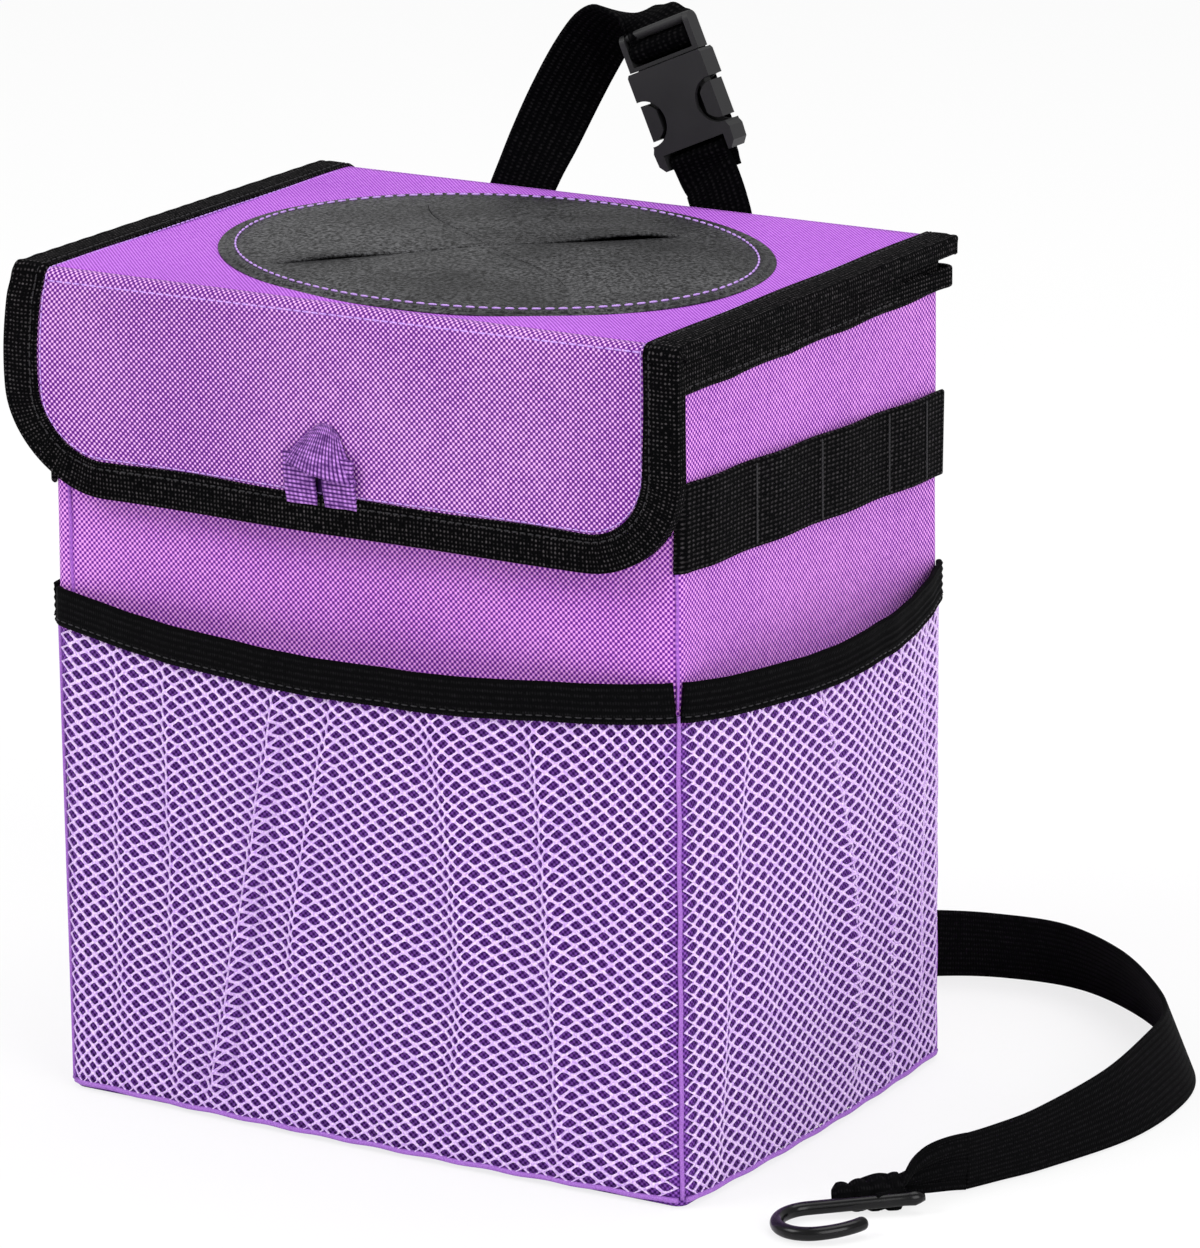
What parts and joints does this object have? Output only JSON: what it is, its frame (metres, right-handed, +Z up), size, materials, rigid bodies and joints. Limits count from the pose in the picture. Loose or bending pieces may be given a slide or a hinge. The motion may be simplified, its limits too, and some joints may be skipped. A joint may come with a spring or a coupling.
{
  "type": "car trash bin",
  "caption": "Boarded cloth car bin with a hinged lid, a leather insert cut for rubbish, a front flap, net pockets, a buckled strap loop and an elastic strap with a hook.",
  "frame": {"origin": "middle of the bin's flat base, on the floor", "axes": "+Z up, -Y towards the front flap, +X to the right seen from the front"},
  "size_m": [0.3077, 0.2398, 0.3072],
  "materials": {
    "violet_cloth": "woven oxford cloth, slight sheen",
    "violet_ribbon": "ribbed ribbon",
    "foam_board": "closed foam board",
    "coated_lining": "wipe-clean coated cloth",
    "black_tape": "woven binding tape",
    "hook_and_loop": "hook and loop pile",
    "black_webbing": "ribbed webbing",
    "lilac_net": "knitted net",
    "black_elastic": "ribbed elastic",
    "buckle_plastic": "satin moulded plastic",
    "coated_wire": "dipped soft coating",
    "grained_leather": "grained coated leather"
  },
  "bodies": {
    "bin": {"outer_shell": "violet_cloth", "front_board": "foam_board", "back_board": "foam_board", "left_board": "foam_board", "right_board": "foam_board", "base_board": "foam_board", "inner_liner": "coated_lining", "rim_binding": "black_tape", "front_loop_patch": "hook_and_loop", "side_webbing_left": "black_webbing", "side_webbing_right": "black_webbing", "upper_strap_left": "black_webbing", "upper_strap_right": "black_webbing", "front_pocket_net": "lilac_net", "left_pocket_net": "lilac_net", "right_pocket_net": "lilac_net", "front_pocket_elastic": "black_elastic", "left_pocket_elastic": "black_elastic", "right_pocket_elastic": "black_elastic", "lower_strap": "black_elastic", "lower_strap_end": "black_elastic", "buckle_male": "buckle_plastic", "buckle_female": "buckle_plastic", "strap_hook": "coated_wire"},
    "lid": {"lid_panel": "violet_cloth", "lid_board": "foam_board", "lid_liner": "coated_lining", "lid_binding": "black_tape", "leather_insert": "grained_leather"},
    "flap": {"flap_panel": "violet_cloth", "flap_liner": "coated_lining", "flap_binding": "black_tape", "pull_tab": "violet_ribbon", "flap_hook_patch": "hook_and_loop"},
    "left_latch": {"latch_left": "buckle_plastic"},
    "right_latch": {"latch_right": "buckle_plastic"}
  },
  "joints": [
    {"name": "lid_hinge", "type": "hinge", "parent": "bin", "child": "lid", "pos_m": [0, 0.075, 0.2462], "axis": [-1, 0, 0], "range_deg": [0, 90]},
    {"name": "flap_hinge", "type": "hinge", "parent": "lid", "child": "flap", "pos_m": [0, -0.0802, 0.2472], "axis": [-1, 0, 0], "range_deg": [0, 90]},
    {"name": "left_latch_press", "type": "hinge", "parent": "bin", "child": "left_latch", "pos_m": [-0.0008, 0.08675, 0.286], "axis": [0, -1, 0], "range_deg": [0, 4], "stiffness_Nm_per_rad": 0.05},
    {"name": "right_latch_press", "type": "hinge", "parent": "bin", "child": "right_latch", "pos_m": [0.01609, 0.08675, 0.29331], "axis": [0, 1, 0], "range_deg": [0, 4], "stiffness_Nm_per_rad": 0.05}
  ]
}
